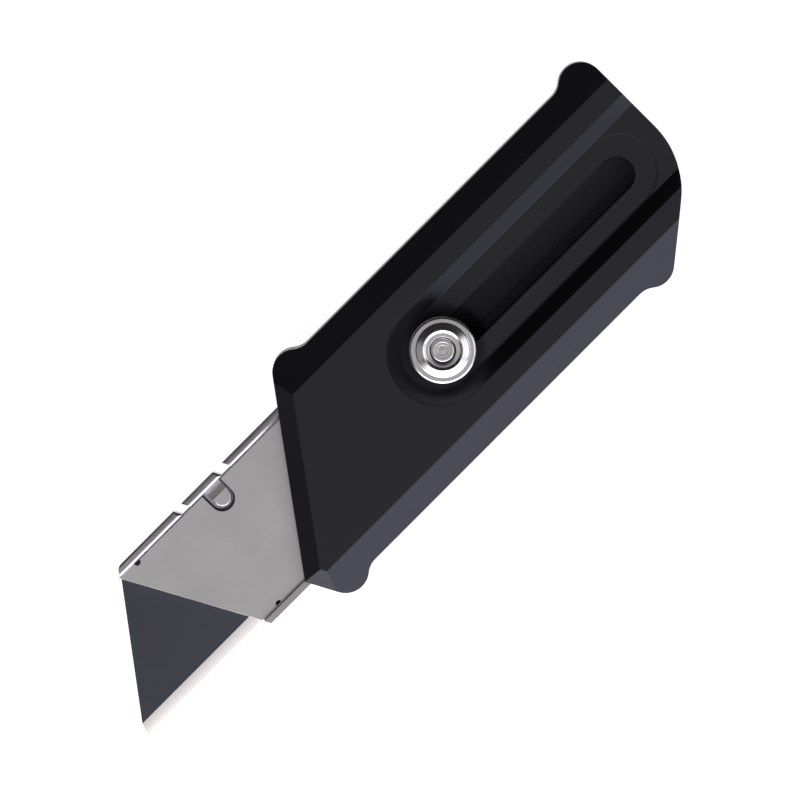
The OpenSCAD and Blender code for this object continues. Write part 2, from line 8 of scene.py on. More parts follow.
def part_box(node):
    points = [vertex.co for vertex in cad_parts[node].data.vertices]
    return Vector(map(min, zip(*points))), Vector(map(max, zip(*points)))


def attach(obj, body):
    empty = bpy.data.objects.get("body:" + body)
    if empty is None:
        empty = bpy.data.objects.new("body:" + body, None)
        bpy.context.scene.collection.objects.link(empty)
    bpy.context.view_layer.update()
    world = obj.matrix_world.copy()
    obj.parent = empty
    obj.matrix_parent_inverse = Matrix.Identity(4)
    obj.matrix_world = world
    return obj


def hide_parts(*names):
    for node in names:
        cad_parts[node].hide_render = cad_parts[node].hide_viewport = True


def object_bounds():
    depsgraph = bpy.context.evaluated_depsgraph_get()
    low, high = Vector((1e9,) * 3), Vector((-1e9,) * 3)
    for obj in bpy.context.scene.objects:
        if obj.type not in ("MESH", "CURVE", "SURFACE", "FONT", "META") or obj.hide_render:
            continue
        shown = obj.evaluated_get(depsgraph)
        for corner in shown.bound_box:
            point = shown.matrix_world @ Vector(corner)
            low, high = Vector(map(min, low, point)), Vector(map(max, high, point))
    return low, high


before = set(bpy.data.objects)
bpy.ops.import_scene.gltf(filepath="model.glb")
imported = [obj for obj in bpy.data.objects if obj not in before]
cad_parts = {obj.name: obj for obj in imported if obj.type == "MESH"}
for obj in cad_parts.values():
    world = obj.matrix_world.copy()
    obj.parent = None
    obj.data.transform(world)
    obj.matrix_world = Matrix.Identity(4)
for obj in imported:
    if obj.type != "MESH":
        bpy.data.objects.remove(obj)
cadLow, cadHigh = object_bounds()
print("frame loaded, with", len(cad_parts), "nodes")

mm = 0.001  # pieces are drawn in millimetres and scaled to metres when they are finished
near = 1e-4  # points this close are one point, in millimetres
over = 1  # how far the cutting shapes run past a surface


def boxOf(node):  # corners of a CAD node in millimetres
    low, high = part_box(node)
    return low / mm, high / mm


def toward(angle):  # unit vector in the plane, at an angle in degrees
    return Vector((cos(radians(angle)), sin(radians(angle)), 0))


# tools that draw in a bmesh, in millimetres
class Pencil:  # draws an outline in a bmesh, one line or one arc at a time
    def __init__(self, bm, start):
        self.bm = bm
        self.tip = bm.verts.new(start)
        self.verts = [self.tip]

    def line(self, *points):
        for point in points:
            grown = bmesh.ops.extrude_vert_indiv(self.bm, verts=[self.tip])
            self.tip = grown["verts"][0]
            self.tip.co = point
            self.verts.append(self.tip)
        return self

    def arc(self, centre, turn, stepAngle=5):  # turn is in degrees, and anticlockwise from above
        before = set(self.bm.verts)
        turned = bmesh.ops.spin(
            self.bm, geom=[self.tip], cent=centre, axis=(0, 0, 1), angle=radians(turn),
            steps=ceil(abs(turn) / stepAngle), use_duplicate=False)
        self.tip = [v for v in turned["geom_last"] if isinstance(v, bmesh.types.BMVert)][0]
        self.verts += [v for v in self.bm.verts if v not in before]
        return self

    def fill(self):  # closes the outline and makes its face
        self.bm.edges.new((self.tip, self.verts[0]))
        mine = set(self.verts)
        edges = [e for e in self.bm.edges if e.verts[0] in mine and e.verts[1] in mine]
        bmesh.ops.remove_doubles(self.bm, verts=self.verts, dist=near)
        edges = [e for e in edges if e.is_valid]
        return bmesh.ops.contextual_create(self.bm, geom=edges)["faces"][0]


def raiseFace(bm, face, offset):  # gives a flat outline its depth
    grown = bmesh.ops.extrude_face_region(bm, geom=[face])
    moved = [v for v in grown["geom"] if isinstance(v, bmesh.types.BMVert)]
    bmesh.ops.translate(bm, vec=offset, verts=moved)
    bmesh.ops.recalc_face_normals(bm, faces=bm.faces)


def sliceOff(bm, point, outward):  # cuts everything beyond a plane away and closes the cut
    whole = bm.verts[:] + bm.edges[:] + bm.faces[:]
    cut = bmesh.ops.bisect_plane(
        bm, geom=whole, plane_co=point, plane_no=outward, clear_outer=True, dist=near / 10)
    rim = [e for e in cut["geom_cut"] if isinstance(e, bmesh.types.BMEdge)]
    bmesh.ops.contextual_create(bm, geom=rim)
    bmesh.ops.recalc_face_normals(bm, faces=bm.faces)


def chamfer(bm, edges, width, segments=1):
    bmesh.ops.bevel(
        bm, geom=edges, offset=width, offset_type="OFFSET", segments=segments,
        profile=0.5, affect="EDGES", material=-1)


def rimEdges(bm, height):  # edges that lie at one height
    return [e for e in bm.edges if all(abs(v.co.z - height) < near for v in e.verts)]


def column(bm, x, y, low, high, radius, topRadius=None, segments=48):  # upright, or a cone
    bmesh.ops.create_cone(
        bm, cap_ends=True, segments=segments, radius1=radius,
        radius2=radius if topRadius is None else topRadius, depth=high - low,
        matrix=Matrix.Translation((x, y, (low + high) / 2)))


def block(bm, low, high):
    low, high = Vector(low), Vector(high)
    bmesh.ops.create_cube(
        bm, size=1,
        matrix=Matrix.Translation((low + high) / 2) @ Matrix.Diagonal((*(high - low), 1)))


def stadium(bm, x1, x2, radius, low, high):  # two round ends joined by straight sides
    pencil = Pencil(bm, (x1, radius, low)).arc((x1, 0, low), 180).line((x2, -radius, low))
    raiseFace(bm, pencil.arc((x2, 0, low), 180).fill(), (0, 0, high - low))


def alongX(bm, section, x1, x2):  # a section in the Y-Z plane, drawn out along X
    pencil = Pencil(bm, (x1, *section[0])).line(*[(x1, y, z) for y, z in section[1:]])
    raiseFace(bm, pencil.fill(), (x2 - x1, 0, 0))


def turned(bm, x, profile, steps=96):  # a half section of radius and height, spun about an upright axis
    Pencil(bm, (x + profile[0][0], 0, profile[0][1])).line(*[(x + r, 0, z) for r, z in profile[1:]])
    bmesh.ops.spin(
        bm, geom=bm.verts[:] + bm.edges[:], cent=(x, 0, 0), axis=(0, 0, 1), angle=2 * pi,
        steps=steps, use_merge=True, use_duplicate=False)
    bmesh.ops.remove_doubles(bm, verts=bm.verts, dist=near)
    bmesh.ops.recalc_face_normals(bm, faces=bm.faces)


# from a drawing to a finished piece
bend = {"from": 12, "to": 22}  # angles between faces, in degrees: rounded above, smooth below


def asObject(bm, name):  # links the drawing to the scene as an object
    mesh = bpy.data.meshes.new(name)
    bm.to_mesh(mesh)
    bm.free()
    piece = bpy.data.objects.new(name, mesh)
    bpy.context.scene.collection.objects.link(piece)
    return piece


def shape(draw, *values):  # an object from one drawing function, to cut or to join with
    bm = bmesh.new()
    draw(bm, *values)
    return asObject(bm, draw.__name__)


def combine(piece, others, operation="DIFFERENCE"):  # cuts or joins, and keeps one clean mesh
    for other in others:
        step = piece.modifiers.new("combine", "BOOLEAN")
        step.object = other
        step.operation = operation
        step.solver = "EXACT"
    bpy.context.view_layer.update()
    whole = piece.evaluated_get(bpy.context.evaluated_depsgraph_get())
    rough = piece.data
    piece.data = bpy.data.meshes.new_from_object(whole)
    piece.modifiers.clear()
    bpy.data.meshes.remove(rough)
    for other in others:
        bpy.data.objects.remove(other)
    bm = bmesh.new()
    bm.from_mesh(piece.data)
    bmesh.ops.remove_doubles(bm, verts=bm.verts, dist=2 * near)
    for face in bm.faces:
        face.material_index = 0
    bm.to_mesh(piece.data)
    bm.free()
    piece.data.materials.clear()
    return piece


def markBends(mesh):  # keeps a shallow bend crisp, where the rounding leaves it alone
    bm = bmesh.new()
    bm.from_mesh(mesh)
    for edge in bm.edges:
        edge.smooth = not radians(bend["from"]) < edge.calc_face_angle(0) < radians(bend["to"])
    bm.to_mesh(mesh)
    bm.free()


# to metres, fine rounding on the sharp edges, and over to the frame
def settle(piece, body, nodes, finishes, edgeWidth, segments=3):
    piece.data.transform(Matrix.Scale(mm, 4))
    markBends(piece.data)
    for finish in finishes:
        piece.data.materials.append(finish)
    for face in piece.data.polygons:
        face.use_smooth = True
    if edgeWidth:
        rounding = piece.modifiers.new("edges", "BEVEL")
        rounding.width = edgeWidth * mm
        rounding.segments = segments
        rounding.limit_method = "ANGLE"
        rounding.angle_limit = radians(bend["to"])
        rounding.use_clamp_overlap = True
        rounding.miter_outer = "MITER_ARC"
    normals = piece.modifiers.new("normals", "WEIGHTED_NORMAL")
    normals.keep_sharp = True
    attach(piece, body)
    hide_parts(*nodes)
    print("made", piece.name, "with", len(piece.data.polygons), "faces")


class Wire:  # a shader socket that takes part in plain arithmetic
    def __init__(self, tree, socket):
        self.tree = tree
        self.socket = socket

    def node(self, kind, settings, values, output=0):  # any other node
        made = self.tree.nodes.new(kind)
        for name, value in settings.items():
            setattr(made, name, value)
        for name, value in values.items():
            if isinstance(value, Wire):
                self.tree.links.new(value.socket, made.inputs[name])
            else:
                made.inputs[name].default_value = value
        return Wire(self.tree, made.outputs[output])

    def maths(self, operation, first, second):
        return self.node("ShaderNodeMath", {"operation": operation}, {0: first, 1: second})

    def __add__(self, other):
        return self.maths("ADD", self, other)

    def __mul__(self, other):
        return self.maths("MULTIPLY", self, other)

    __radd__ = __add__
    __rmul__ = __mul__

    def grain(self, scale, detail=2.0, roughness=0.5, stretch=(1, 1, 1)):  # noise from 0 to 1
        spot = self.node("ShaderNodeMapping", {"vector_type": "POINT"}, {0: self, 3: stretch})
        return self.node("ShaderNodeTexNoise", {"noise_dimensions": "3D"}, {
            "Vector": spot, "Scale": scale, "Detail": detail, "Roughness": roughness})

    def joined(self, other, share):  # two values, this one's share first
        return self * share + other * (1 - share)

    def mixed(self, first, second):  # two colours, mixed by this value
        return self.node("ShaderNodeMix", {"data_type": "RGBA"}, {0: self, 6: first, 7: second}, 2)

    def tinted(self, sizes):  # a finish's colour, from its darkest to its lightest shade
        dark, light = sizes["shades"]
        return self.mixed(shade(sizes["colour"], dark), shade(sizes["colour"], light))

    def relief(self, depth):  # a normal from a height of 0 to 1, depth in millimetres
        return self.node("ShaderNodeBump", {}, {
            "Height": self, "Distance": depth * mm, "Strength": 1.0})

    def into(self, shader, name):
        self.tree.links.new(self.socket, shader.inputs[name])


def newFinish(name, constants):  # a material, its shader and the place on the object in metres
    material = bpy.data.materials.new(name)
    material.use_nodes = True
    tree = material.node_tree
    shader = tree.nodes["Principled BSDF"]
    for socket, value in constants.items():
        shader.inputs[socket].default_value = value
    place = Wire(tree, tree.nodes.new("ShaderNodeTexCoord").outputs["Object"])
    return material, shader, place


def shade(colour, factor):  # a colour made darker or lighter, with its alpha
    return (colour[0] * factor, colour[1] * factor, colour[2] * factor, 1)


def uneven(level, *parts):  # a value about a level, from pairs of a grain and how much it adds
    total = level - sum(amount for grain, amount in parts) / 2
    for grain, amount in parts:
        total = grain * amount + total
    return total


def distanceFrom(place, x):  # from an upright axis at x, in metres
    spot = place.node("ShaderNodeMapping", {"vector_type": "POINT"}, {
        0: place, 1: (-x * mm, 0, 0), 3: (1, 1, 0)})
    return place.node("ShaderNodeVectorMath", {"operation": "LENGTH"}, {0: spot}, 1)


knobLow, knobHigh = boxOf("knob_cap")
knobX = (knobLow.x + knobHigh.x) / 2

anodising = {
    "colour": (0.0028, 0.0027, 0.0034), "shades": (0.85, 1.2), "sheen": (0.80, 0.78, 0.915, 1),
    "roughness": 0.40, "cloudScale": 55, "cloudRough": 0.05,
    "blastSize": 0.16, "blastDepth": 0.004, "blastRough": 0.08,
    "mattR": 5.5, "mattFade": 1.9, "mattRise": 0.42,  # matt where the knob rests
}


def anodisedFinish(name, sizes):  # bead-blasted aluminium, anodised black
    material, shader, place = newFinish(name, {
        "Specular IOR Level": 0.55, "Specular Tint": sizes["sheen"]})
    cloud = place.grain(sizes["cloudScale"], detail=3)
    blast = place.grain(1 / (sizes["blastSize"] * mm), detail=2)
    mattEnd = sizes["mattR"] + sizes["mattFade"]
    matt = place.node("ShaderNodeMapRange", {"interpolation_type": "SMOOTHSTEP"}, {
        "Value": distanceFrom(place, knobX), "From Min": sizes["mattR"] * mm, "From Max": mattEnd * mm,
        "To Min": sizes["mattRise"], "To Max": 0.0})
    cloud.tinted(sizes).into(shader, "Base Color")
    gloss = uneven(sizes["roughness"], (cloud, sizes["cloudRough"]), (blast, sizes["blastRough"]))
    (gloss + matt).into(shader, "Roughness")
    blast.relief(sizes["blastDepth"]).into(shader, "Normal")
    return material


satin = {
    "colour": (0.60, 0.585, 0.59), "shades": (0.84, 1.15), "roughness": 0.33,
    "streakScale": (160, 9000, 9000), "streakShare": 0.35, "streakRough": 0.10, "streakDepth": 0.0015,
    "cloudScale": 120, "cloudRough": 0.06, "cloudRelief": 0.3,
}


def satinFinish(name, sizes, turn=0.0):  # fine parallel grinding along X, or turned by an angle
    material, shader, place = newFinish(name, {"Metallic": 1.0})
    along = place.node("ShaderNodeMapping", {"vector_type": "POINT"}, {
        0: place, 2: (0, 0, radians(turn))})
    streaks = along.grain(1, detail=3, roughness=0.6, stretch=sizes["streakScale"])
    cloud = place.grain(sizes["cloudScale"], detail=4, roughness=0.55)
    streaks.joined(cloud, sizes["streakShare"]).tinted(sizes).into(shader, "Base Color")
    gloss = uneven(sizes["roughness"], (streaks, sizes["streakRough"]), (cloud, sizes["cloudRough"]))
    gloss.into(shader, "Roughness")
    (streaks + cloud * sizes["cloudRelief"]).relief(sizes["streakDepth"]).into(shader, "Normal")
    return material


lathe = {
    "colour": (0.66, 0.65, 0.655), "shades": (0.9, 1.06), "roughness": 0.205,
    "pitch": 0.09, "depth": 0.0012, "ringRough": 0.14, "cloudScale": 700, "cloudRough": 0.05,
}


def turnedFinish(name, sizes, x):  # rings left by a lathe, about an upright axis at x
    material, shader, place = newFinish(name, {"Metallic": 1.0})
    rings = place.node("ShaderNodeTexNoise", {"noise_dimensions": "1D"}, {
        "W": distanceFrom(place, x), "Scale": 1 / (sizes["pitch"] * mm), "Detail": 2.0})
    cloud = place.grain(sizes["cloudScale"], detail=3)
    rings.tinted(sizes).into(shader, "Base Color")
    gloss = uneven(sizes["roughness"], (rings, sizes["ringRough"]), (cloud, sizes["cloudRough"]))
    gloss.into(shader, "Roughness")
    rings.relief(sizes["depth"]).into(shader, "Normal")
    return material


coating = {
    "colour": (0.032, 0.034, 0.047), "shades": (0.88, 1.12), "roughness": 0.36,
    "lineScale": (220, 7000, 7000), "lineShare": 0.4, "lineRough": 0.1, "lineDepth": 0.0012,
    "cloudScale": 140, "cloudRough": 0.08,
}


def coatedFinish(name, sizes):  # dark coating over lengthwise grinding
    material, shader, place = newFinish(name, {"Specular IOR Level": 0.5})
    lines = place.grain(1, detail=3, roughness=0.6, stretch=sizes["lineScale"])
    cloud = place.grain(sizes["cloudScale"], detail=4)
    lines.joined(cloud, sizes["lineShare"]).tinted(sizes).into(shader, "Base Color")
    gloss = uneven(sizes["roughness"], (lines, sizes["lineRough"]), (cloud, sizes["cloudRough"]))
    gloss.into(shader, "Roughness")
    lines.relief(sizes["lineDepth"]).into(shader, "Normal")
    return material


honing = {
    "colour": (0.90, 0.862, 0.822), "shades": (0.88, 1.0), "roughness": 0.42,
    "scratchScale": (9000, 260, 260), "scratchShare": 0.7, "scratchRough": 0.14, "scratchDepth": 0.0025,
    "bandScale": (90, 20, 20),
    "coverX": -33, "coverEndX": -32, "paintedShade": 0.03,  # painted shade: almost black where the carrier covers it, so the relief hole looks dark
}


def honedFinish(name, sizes):  # bare ground steel, scratched square to the cutting edge, with painted shade where the carrier covers it
    material, shader, place = newFinish(name, {"Metallic": 1.0})
    scratches = place.grain(1, detail=3, roughness=0.65, stretch=sizes["scratchScale"])
    band = place.grain(1, detail=1, stretch=sizes["bandScale"])
    bare = scratches.joined(band, sizes["scratchShare"]).tinted(sizes)
    # painted shade: from coverX on, the edge's colour goes almost black where the carrier covers it
    along = place.node("ShaderNodeSeparateXYZ", {}, {0: place})
    paintedShadeMask = along.node("ShaderNodeMapRange", {"clamp": True}, {
        "Value": along, "From Min": sizes["coverX"] * mm, "From Max": sizes["coverEndX"] * mm})
    paintedShadeMask.mixed(bare, shade(sizes["colour"], sizes["paintedShade"])).into(shader, "Base Color")
    uneven(sizes["roughness"], (scratches, sizes["scratchRough"])).into(shader, "Roughness")
    scratches.relief(sizes["scratchDepth"]).into(shader, "Normal")
    return material


moulding = {
    "colour": (0.012, 0.012, 0.013), "shades": (0.88, 1.12), "roughness": 0.5,
    "cloudScale": 300, "fineScale": 4000, "fineRough": 0.12, "fineDepth": 0.004,
}


def mouldedFinish(name, sizes):  # plastic or pressed fibre
    material, shader, place = newFinish(name, {"Specular IOR Level": 0.4})
    cloud = place.grain(sizes["cloudScale"], detail=4)
    fine = place.grain(sizes["fineScale"], detail=2)
    cloud.tinted(sizes).into(shader, "Base Color")
    uneven(sizes["roughness"], (fine, sizes["fineRough"])).into(shader, "Roughness")
    fine.relief(sizes["fineDepth"]).into(shader, "Normal")
    return material


bodyFinish = anodisedFinish("bodyAnodised", anodising)
# painted shade: the cover's anodising gets a weaker sheen than the body's, so the cover seen deep in the
# thumb slot looks shaded
coverFinish = anodisedFinish("coverAnodised", {
    **anodising, "roughness": 0.45, "sheen": (0.64, 0.625, 0.73, 1)})
screwFinish = satinFinish("screwBlack", {
    **satin, "colour": (0.055, 0.055, 0.06), "roughness": 0.38, "streakDepth": 0.001})
stripFinish = mouldedFinish("stripAcetal", moulding)
glideFinish = mouldedFinish("glideWhite", {
    **moulding, "colour": (0.75, 0.75, 0.72), "shades": (0.95, 1.05), "roughness": 0.45})
fibreFinish = mouldedFinish("brakeFibre", {
    **moulding, "colour": (0.10, 0.075, 0.055), "shades": (0.65, 1.35), "roughness": 0.8})
trayFinish = satinFinish("carrierSteel", satin)
plateFinish = satinFinish("plateSteel", satin, 30)
spacerFinish = satinFinish("spacerSteel", {**satin, "colour": (0.45, 0.45, 0.46), "roughness": 0.42})
springFinish = satinFinish("springSteel", {**satin, "roughness": 0.22})
pinFinish = satinFinish("pinSteel", {**satin, "roughness": 0.25})
knobFinish = turnedFinish("knobSteel", lathe, knobX)
discFinish = turnedFinish("knobScrewSteel", {
    **lathe, "roughness": 0.275, "depth": 0.003, "pitch": 0.14}, knobX)
stemFinish = turnedFinish("stemSteel", {
    **lathe, "colour": (0.5, 0.5, 0.51), "roughness": 0.305}, knobX)
bladeFinish = coatedFinish("bladeCoated", coating)
edgeFinish = honedFinish("groundEdge", honing)
print("finishes made")

for node, finish in {
    "dowel_pins": pinFinish, "upper_guide_strip": stripFinish, "lower_guide_strip": stripFinish,
    "detent_spring": springFinish, "detent_rivets": pinFinish, "carrier_rivets": pinFinish,
    "rear_spacer": spacerFinish, "tray_glides": glideFinish, "knob_stem": stemFinish,
    "brake_disc": stemFinish, "brake_ring": fibreFinish, "stem_clip": springFinish,
    "lock_spring": springFinish,
}.items():
    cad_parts[node].material_slots[0].material = finish


# the two halves of the body and their screws
shellLow, shellHigh = boxOf("front_shell")
coverLow, coverHigh = boxOf("back_cover")

plan = {
    "edgeY": 14.6,  # straight long edges, from the middle
    "bumpR": 3.3,
    "noseX": -25.1, "noseY": -9.7,  # corner between the slanted nose and the chin
    "noseAngle": 53.8, "chinAngle": 62.3, "tailAngle": 39.5,
    "lowBumpX": 42.85,
    "tailR": 13,
}
bumpY = shellHigh.y - plan["bumpR"]
noseCorner = Vector((plan["noseX"], plan["noseY"], 0))
tailOut = toward(plan["tailAngle"] - 90)
hollowRise = plan["edgeY"] + plan["bumpR"] - bumpY
hollowX = sqrt((2 * plan["bumpR"]) ** 2 - hollowRise ** 2)
joinAngle = degrees(acos(hollowX / (2 * plan["bumpR"])))


def bumpAfter(angle, rise):  # centre of the bump at one end of a slanted side through the nose corner
    side = radians(angle)
    return plan["noseX"] + rise / tan(side) + plan["bumpR"] / sin(side)


noseBump = Vector((bumpAfter(plan["noseAngle"], bumpY - plan["noseY"]), bumpY, 0))
chinBump = Vector((bumpAfter(plan["chinAngle"], bumpY + plan["noseY"]), -bumpY, 0))
tailBump = Vector((shellHigh.x - plan["bumpR"], bumpY, 0))
lowBump = Vector((plan["lowBumpX"], -bumpY, 0))
bumps = [noseBump, chinBump, tailBump, lowBump]
tailFoot = lowBump + plan["bumpR"] * tailOut
tailRise = (shellHigh.x - tailFoot.x) * tan(radians(plan["tailAngle"]))
tailReach = plan["tailR"] * tan(radians(90 - plan["tailAngle"]) / 2)
tailCentre = Vector((shellHigh.x - plan["tailR"], tailFoot.y + tailRise + tailReach, 0))


def hollow(bump, side):  # centre of the round hollow beside a bump
    outer = plan["edgeY"] + plan["bumpR"]
    return Vector((bump.x + side * hollowX, outer if bump.y > 0 else -outer, 0))


def bodyOutline(bm, height):
    def at(centre, angle):
        return centre + plan["bumpR"] * toward(angle) + Vector((0, 0, height))

    noseTurn, chinTurn = plan["noseAngle"] + 90, -plan["chinAngle"] - 90
    dip = 90 - joinAngle
    pencil = Pencil(bm, noseCorner + Vector((0, 0, height)))
    pencil.line(at(noseBump, noseTurn)).arc(noseBump, joinAngle - noseTurn)
    pencil.arc(hollow(noseBump, 1), dip)
    pencil.line(at(hollow(tailBump, -1), 270)).arc(hollow(tailBump, -1), dip)
    pencil.arc(tailBump, joinAngle - 180)
    pencil.line(tailCentre + Vector((plan["tailR"], 0, height)))
    pencil.arc(tailCentre, plan["tailAngle"] - 90, stepAngle=3)
    pencil.line(at(lowBump, plan["tailAngle"] - 90))
    pencil.arc(lowBump, joinAngle - 90 - plan["tailAngle"])
    pencil.arc(hollow(lowBump, -1), dip)
    pencil.line(at(hollow(chinBump, 1), 90)).arc(hollow(chinBump, 1), dip)
    pencil.arc(chinBump, chinTurn + joinAngle)
    return pencil.fill()


faceCuts = {
    "sideWidth": 3.8, "sideDrop": 1.95,  # bevels along the two long edges
    "noseWidth": 2.5, "noseDrop": 1.6,  # bevels on the nose and the chin
    "edge": 0.14,  # rounding of the sharp edges
}
channel = {
    "x": 12.2, "faceR": 7.7, "floorR": 5.65, "depth": 1.8,
    "pocketEndX": 48.95, "pocketR": 5.6, "pocketDepth": 0.3,
    "slotR": 2.72, "travel": 35.6,
}
cavity = {"y": 11.65, "roof": 6.3, "endX": 54.9, "wall": 2}
threads = {"r": 0.8, "top": 6.8}


def faceBevel(bm, point, outward, width, drop):  # a flat that falls away from the face
    fall = atan(drop / width)
    start = point - outward * width
    sliceOff(bm, (start.x, start.y, shellHigh.z), outward * sin(fall) + Vector((0, 0, cos(fall))))


def channelShape(bm):  # a half cone drawn out along X past the rear
    floorZ = shellHigh.z - channel["depth"]
    lean = (channel["faceR"] - channel["floorR"]) / channel["depth"]
    topR, topZ = channel["faceR"] + lean * over, shellHigh.z + over
    x = channel["x"]
    Pencil(bm, (x, 0, floorZ)).line((x, channel["floorR"], floorZ), (x, topR, topZ), (x, 0, topZ))
    bmesh.ops.spin(
        bm, geom=bm.verts[:] + bm.edges[:], cent=(x, 0, 0), axis=(0, 0, 1), angle=pi,
        steps=48, use_duplicate=False)
    bmesh.ops.remove_doubles(bm, verts=bm.verts, dist=near)
    rim = [e for e in bm.edges if e.is_boundary]
    grown = bmesh.ops.extrude_edge_only(bm, edges=rim)
    moved = [v for v in grown["geom"] if isinstance(v, bmesh.types.BMVert)]
    bmesh.ops.translate(bm, vec=(shellHigh.x + over - x, 0, 0), verts=moved)
    bmesh.ops.contextual_create(bm, geom=[e for e in bm.edges if e.is_boundary])
    bmesh.ops.recalc_face_normals(bm, faces=bm.faces)


def cavityShape(bm):  # the space that the carrier runs in, open at the nose
    low = shellLow.z - over
    slope = tan(radians(plan["tailAngle"]))
    foot = tailFoot - cavity["wall"] * tailOut
    pencil = Pencil(bm, (cadLow.x / mm, -cavity["y"], low))
    pencil.line(
        (foot.x - (foot.y + cavity["y"]) / slope, -cavity["y"], low),
        (cavity["endX"], foot.y + (cavity["endX"] - foot.x) * slope, low),
        (cavity["endX"], cavity["y"], low),
        (cadLow.x / mm, cavity["y"], low))
    raiseFace(bm, pencil.fill(), (0, 0, cavity["roof"] - low))


def screwHoles(bm, radius, low, high):
    for bump in bumps:
        column(bm, bump.x, bump.y, low, high, radius)


def makeFrontShell():
    bm = bmesh.new()
    raiseFace(bm, bodyOutline(bm, shellLow.z), (0, 0, shellHigh.z - shellLow.z))
    long = faceCuts["sideWidth"], faceCuts["sideDrop"]
    short = faceCuts["noseWidth"], faceCuts["noseDrop"]
    faceBevel(bm, Vector((0, plan["edgeY"], 0)), Vector((0, 1, 0)), *long)
    faceBevel(bm, Vector((0, -plan["edgeY"], 0)), Vector((0, -1, 0)), *long)
    faceBevel(bm, noseCorner, toward(plan["noseAngle"] + 90), *short)
    faceBevel(bm, noseCorner, toward(-plan["chinAngle"] - 90), *short)
    shell = asObject(bm, "frontShell")
    pocketZ = shellHigh.z - channel["depth"] - channel["pocketDepth"]
    slotEndX = knobX + channel["travel"]
    combine(shell, [
        shape(cavityShape),
        shape(channelShape),
        shape(stadium, channel["x"], channel["pocketEndX"], channel["pocketR"], pocketZ, pocketZ + over),
        shape(stadium, knobX, slotEndX, channel["slotR"], cavity["roof"] - over, pocketZ + over),
        shape(screwHoles, threads["r"], shellLow.z - over, threads["top"]),
    ])
    settle(shell, "handle", ["front_shell"], [bodyFinish], faceCuts["edge"])


cover = {
    "edgeR": 0.45, "edge": 0.1,  # the back's wide chamfer, and the rounding of the sharp edges
    "holeR": 1.1, "sinkR": 2.0, "sinkFlat": 0.2, "sinkDepth": 1.1,
    "grooveR": 1.5, "grooveZ": 2.2,
    "leafX": 11, "leafEndX": 45.2, "leafDeepX": 35,  # seat of the leaf spring
    "leafY": 5, "leafHalf": 2.1, "leafZ": 2.1, "leafLowZ": 1.6,
}


def sinkShape(bm):
    for bump in bumps:
        column(bm, bump.x, bump.y, -over, cover["sinkFlat"], cover["sinkR"])


def coneShape(bm):
    for bump in bumps:
        column(bm, bump.x, bump.y, cover["sinkFlat"], cover["sinkFlat"] + cover["sinkDepth"],
               cover["sinkR"], cover["holeR"])


def leafSeat(bm, endX, low):
    block(bm, (cover["leafX"], cover["leafY"] - cover["leafHalf"], low),
          (endX, cover["leafY"] + cover["leafHalf"], coverHigh.z + over))


def makeBackCover():
    bm = bmesh.new()
    raiseFace(bm, bodyOutline(bm, coverLow.z), (0, 0, coverHigh.z - coverLow.z))
    chamfer(bm, rimEdges(bm, coverLow.z), cover["edgeR"], segments=4)
    piece = asObject(bm, "backCover")
    top, grooveEndX = coverHigh.z + over, knobX + channel["travel"]
    combine(piece, [
        shape(screwHoles, cover["holeR"], cover["sinkFlat"] + over / 2, top),
        shape(coneShape),
        shape(sinkShape),
        shape(stadium, knobX, grooveEndX, cover["grooveR"], cover["grooveZ"], top),
        shape(leafSeat, cover["leafEndX"], cover["leafZ"]),
        shape(leafSeat, cover["leafDeepX"], cover["leafLowZ"]),
    ])
    settle(piece, "handle", ["back_cover"], [coverFinish], cover["edge"])


screw = {
    "low": 0.05, "headR": 1.9, "flat": 0.2, "headH": 1.1,
    "shankR": 0.78, "length": 5, "tip": 0.3, "tipTaper": 0.25,
    "hexR": 0.75, "hexDepth": 0.9, "edge": 0.06,
}


def screwShape(bm, x):
    low, r = screw["low"], screw["shankR"]
    flat = low + screw["flat"]
    neck, top = flat + screw["headH"], flat + screw["length"]
    turned(bm, x, [
        (0, low), (screw["headR"], low), (screw["headR"], flat), (r, neck),
        (r, top - screw["tip"]), (r - screw["tipTaper"], top), (0, top)], steps=48)


def hexShape(bm, x):  # the key's socket
    column(bm, x, 0, screw["low"] - over, screw["low"] + screw["hexDepth"], screw["hexR"], segments=6)


def makeScrews():
    one = combine(shape(screwShape, 0), [shape(hexShape, 0)])
    bm = bmesh.new()
    for bump in bumps:
        before = set(bm.verts)
        bm.from_mesh(one.data)
        bmesh.ops.translate(bm, vec=bump, verts=[v for v in bm.verts if v not in before])
    bpy.data.objects.remove(one)
    piece = asObject(bm, "coverScrews")
    settle(piece, "handle", ["cover_screws"], [screwFinish], screw["edge"], 2)


makeFrontShell()
makeBackCover()
makeScrews()
print("body made")


# the steel carrier that slides in the body
trayLow, trayHigh = boxOf("carrier_tray")
plateLow, plateHigh = boxOf("carrier_plate")
carrier = {
    "trayT": 0.6, "lipT": 1.25,
    "plateHalf": 9.45,
    "frontX": -43.9, "frontY": 9.4, "frontAngle": 61.5,  # the slanted front edge
    "footX": 11.1,  # where the cut rear corner starts
    "reliefR": 0.5, "reliefTopX": -40.5, "reliefLowX": -30.2,
    "windowX": -25.2, "windowY": 7.25, "windowR": 1.88,
    "lean": 0.65,  # the ends of the lip's stretches lean like the front edge
    "lipCuts": (-31.5, -29.9, -23.4, -21.5),
    "frontR": 1.2, "frontGap": 2,  # its round corner stops this many degrees before its start
    "footLean": 0.75,  # slant of the lower lip's front end
    "crest": 0.32, "crestAngle": 30,  # the lip's flat towards the cutting edge
    "roll": 0.36, "rollAngle": 28, "rollDrop": 0.05,  # and the one towards the blade's back and the tail
    "topAngle": 8, "lowTopAngle": 6,
    "stemR": 2.4, "pilotR": 1.05, "detentR": 1.2, "detentY": 5,
    "trayEdge": 0.08, "plateEdge": 0.13,  # rounding of the sharp edges
}
carrierY = trayHigh.y
lipIn = carrierY - carrier["lipT"]
rearX = trayHigh.x
